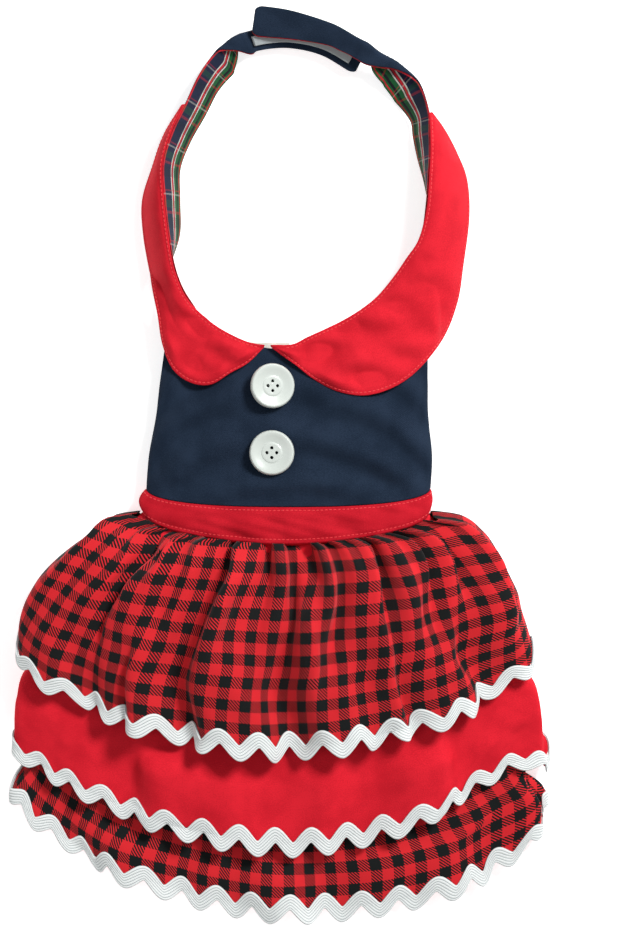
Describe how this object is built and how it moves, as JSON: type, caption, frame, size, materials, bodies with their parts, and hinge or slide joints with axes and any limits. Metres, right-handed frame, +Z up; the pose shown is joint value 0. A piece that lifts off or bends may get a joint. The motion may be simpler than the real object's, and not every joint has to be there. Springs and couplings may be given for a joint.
{
  "type": "dog dress",
  "caption": "Flat-lying dog dress: open neck loop with closure flap, rounded collar, buttoned navy bodice, red waistband and ruffled check tiers with rickrack.",
  "frame": {"origin": "on the surface it lies on, under the middle of the whole dress", "axes": "+X across the dress to the right as pictured, +Y from the hem towards the neck loop, +Z up out of the surface"},
  "size_m": [0.3066, 0.5136, 0.039],
  "materials": {
    "navy_cloth": "matt navy twill",
    "red_cloth": "matt red poplin",
    "check_cloth": "red and black buffalo check",
    "tartan_lining": "green, navy and red tartan",
    "white_trim": "white woven rickrack",
    "white_tape": "pale hook and loop tape",
    "label_cloth": "plain white woven label",
    "button_plastic": "white semi-gloss plastic"
  },
  "bodies": {
    "root": {"waistband": "red_cloth", "neck_strap_left": "navy_cloth", "strap_lining_left": "tartan_lining", "neck_strap_right": "navy_cloth", "strap_lining_right": "tartan_lining", "loop_strip": "white_tape", "hook_strip": "white_tape", "bodice": "navy_cloth", "belly_band": "navy_cloth", "neck_label": "label_cloth", "collar_left": "red_cloth", "collar_right": "red_cloth", "skirt_tier_upper": "check_cloth", "rickrack_upper": "white_trim", "skirt_tier_middle": "red_cloth", "rickrack_middle": "white_trim", "skirt_tier_lower": "check_cloth", "rickrack_lower": "white_trim", "button_upper": "button_plastic", "button_lower": "button_plastic"}
  },
  "joints": []
}
